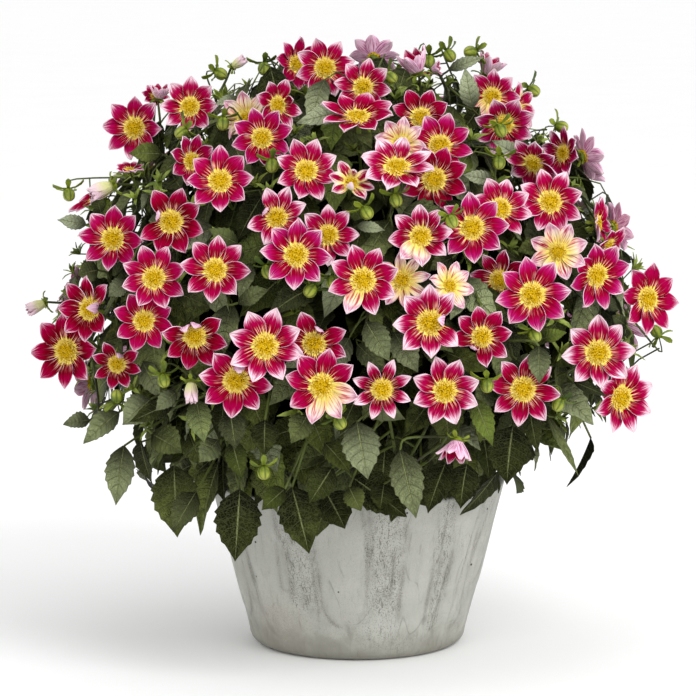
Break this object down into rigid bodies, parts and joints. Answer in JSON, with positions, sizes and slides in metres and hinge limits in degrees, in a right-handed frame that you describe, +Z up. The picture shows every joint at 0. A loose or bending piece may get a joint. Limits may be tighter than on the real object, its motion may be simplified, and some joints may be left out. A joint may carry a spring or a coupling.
{
  "type": "potted plant",
  "caption": "Bushy flowering plant with single daisy-like blooms in a tapered round planter with a thin rim.",
  "frame": {"origin": "middle of the pot's flat foot, on the surface that it stands on", "axes": "+Z up along the pot's axis, -Y towards the side that the picture shows, +X to its right"},
  "size_m": [0.6834, 0.5983, 0.6436],
  "materials": {
    "pot": "matt, weathered",
    "soil": "matt, crumbly",
    "foliage": "satin, slightly hairy",
    "stalks": "satin",
    "petals": "velvety",
    "flower_discs": "matt, grainy",
    "buds": "satin"
  },
  "bodies": {
    "root": {"pot": "pot", "soil": "soil", "leafy_stem_01": "foliage", "leafy_stem_02": "foliage", "leafy_stem_03": "foliage", "leafy_stem_04": "foliage", "leafy_stem_05": "foliage", "leafy_stem_06": "foliage", "leafy_stem_07": "foliage", "leafy_stem_08": "foliage", "leafy_stem_09": "foliage", "leafy_stem_10": "foliage", "leafy_stem_11": "foliage", "leafy_stem_12": "foliage", "leafy_stem_13": "foliage", "leafy_stem_14": "foliage", "leafy_stem_15": "foliage", "leafy_stem_16": "foliage", "leafy_stem_17": "foliage", "leafy_stem_18": "foliage", "leafy_stem_19": "foliage", "leafy_stem_20": "foliage", "leafy_stem_21": "foliage", "leafy_stem_22": "foliage", "leafy_stem_23": "foliage", "leafy_stem_24": "foliage"}
  },
  "joints": []
}
